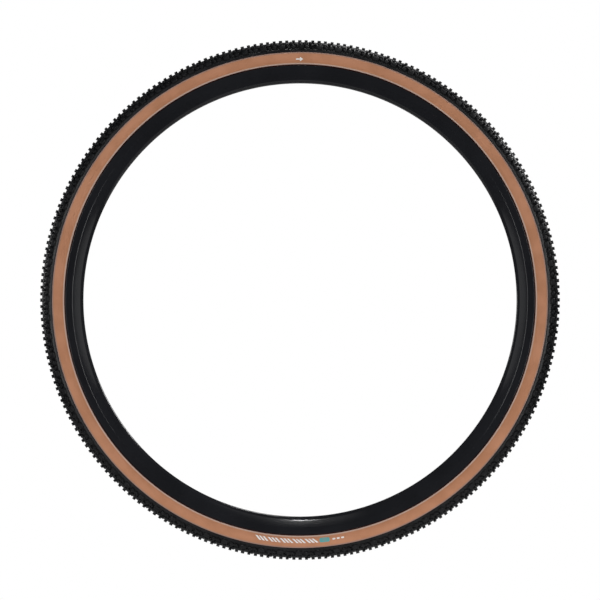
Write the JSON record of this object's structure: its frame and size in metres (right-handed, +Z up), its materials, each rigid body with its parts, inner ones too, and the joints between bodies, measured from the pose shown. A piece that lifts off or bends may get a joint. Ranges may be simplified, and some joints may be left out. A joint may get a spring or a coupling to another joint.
{
  "type": "bicycle tire",
  "caption": "Knobby clincher bicycle tire with black tread and tan sidewalls, mounted on a plain black rim hoop without spokes.",
  "frame": {"origin": "centre of the wheel, on the axle line and on the tire's middle plane", "axes": "+Y along the axle towards the left side, +Z up, +X forward"},
  "size_m": [0.702, 0.038, 0.702],
  "materials": {
    "tread_rubber": "black tread rubber, matte to satin, moulded blocks",
    "tan_sidewall": "thin tan rubber skin over the casing's diagonal threads",
    "casing_cord": "rubberised nylon cord fabric",
    "belt_cord": "woven puncture belt in rubber",
    "bead_aramid": "aramid cord bundle",
    "bead_rubber": "black filler rubber",
    "chafer_fabric": "black rubbered chafer fabric",
    "rim_black": "black satin anodised aluminium",
    "rim_tape": "thin nylon rim tape",
    "sleeve_metal": "bare aluminium",
    "label_white": "white printed label film",
    "label_teal": "teal printed label film"
  },
  "bodies": {
    "root": {"inner_liner": "casing_cord", "casing_ply_inner": "casing_cord", "casing_ply_outer": "casing_cord", "breaker_belt": "belt_cord", "tread_base": "tread_rubber", "tread_centre": "tread_rubber", "ply_turnup_left": "casing_cord", "sidewall_left": "tan_sidewall", "bead_core_left": "bead_aramid", "bead_wrap_left": "casing_cord", "bead_filler_left": "bead_rubber", "chafer_left": "chafer_fabric", "tread_shoulder_left": "tread_rubber", "arrow_label_left": "label_white", "bar_label_left": "label_white", "plate_label_left": "label_teal", "dash_label_left": "label_white", "ply_turnup_right": "casing_cord", "sidewall_right": "tan_sidewall", "bead_core_right": "bead_aramid", "bead_wrap_right": "casing_cord", "bead_filler_right": "bead_rubber", "chafer_right": "chafer_fabric", "tread_shoulder_right": "tread_rubber", "arrow_label_right": "label_white", "bar_label_right": "label_white", "plate_label_right": "label_teal", "dash_label_right": "label_white", "rim_hoop": "rim_black", "rim_tape": "rim_tape", "rim_joint_sleeve": "sleeve_metal"}
  },
  "joints": []
}
